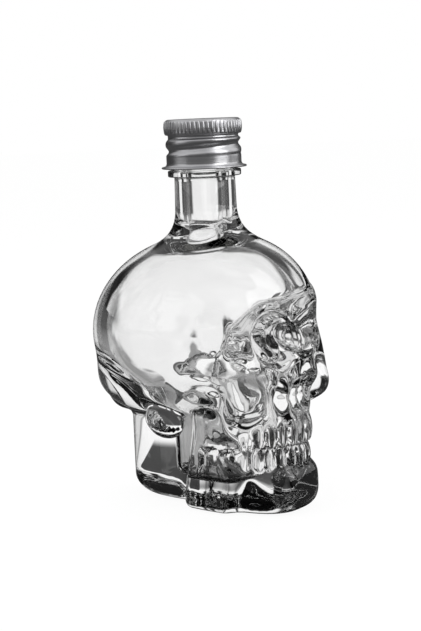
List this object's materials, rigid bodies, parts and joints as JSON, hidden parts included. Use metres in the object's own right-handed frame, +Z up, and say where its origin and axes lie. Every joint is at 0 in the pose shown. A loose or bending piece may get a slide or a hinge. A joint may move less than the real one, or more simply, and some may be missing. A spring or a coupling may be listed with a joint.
{
  "type": "skull bottle with screw cap",
  "caption": "Small clear glass bottle moulded as a human skull, with a neck and a plain rolled aluminium screw cap.",
  "frame": {"origin": "on the axis of the neck, in the plane of the foot", "axes": "+Z up along the neck, +X the way the skull faces, +Y the skull's left side"},
  "size_m": [0.0597, 0.0424, 0.09],
  "materials": {
    "clear_flint_glass": "fire polished",
    "plain_aluminium": "satin",
    "liner_foam": "matt"
  },
  "bodies": {
    "bottle": {"glass_bottle": "clear_flint_glass"},
    "liner": {"cap_liner": "liner_foam"},
    "cap": {"cap_shell": "plain_aluminium"}
  },
  "joints": [
    {"name": "cap_lift", "type": "slide", "parent": "bottle", "child": "liner", "axis": [0, 0, 1], "range_m": [0, 0.0136]},
    {"name": "cap_turn", "type": "hinge", "parent": "liner", "child": "cap", "pos_m": [0, 0, 0.088], "axis": [0, 0, 1], "range_deg": [0, 1530]}
  ],
  "couplings": [
    {"joint": "cap_lift", "follows": "cap_turn", "m_per_rad": 0.00050532}
  ]
}
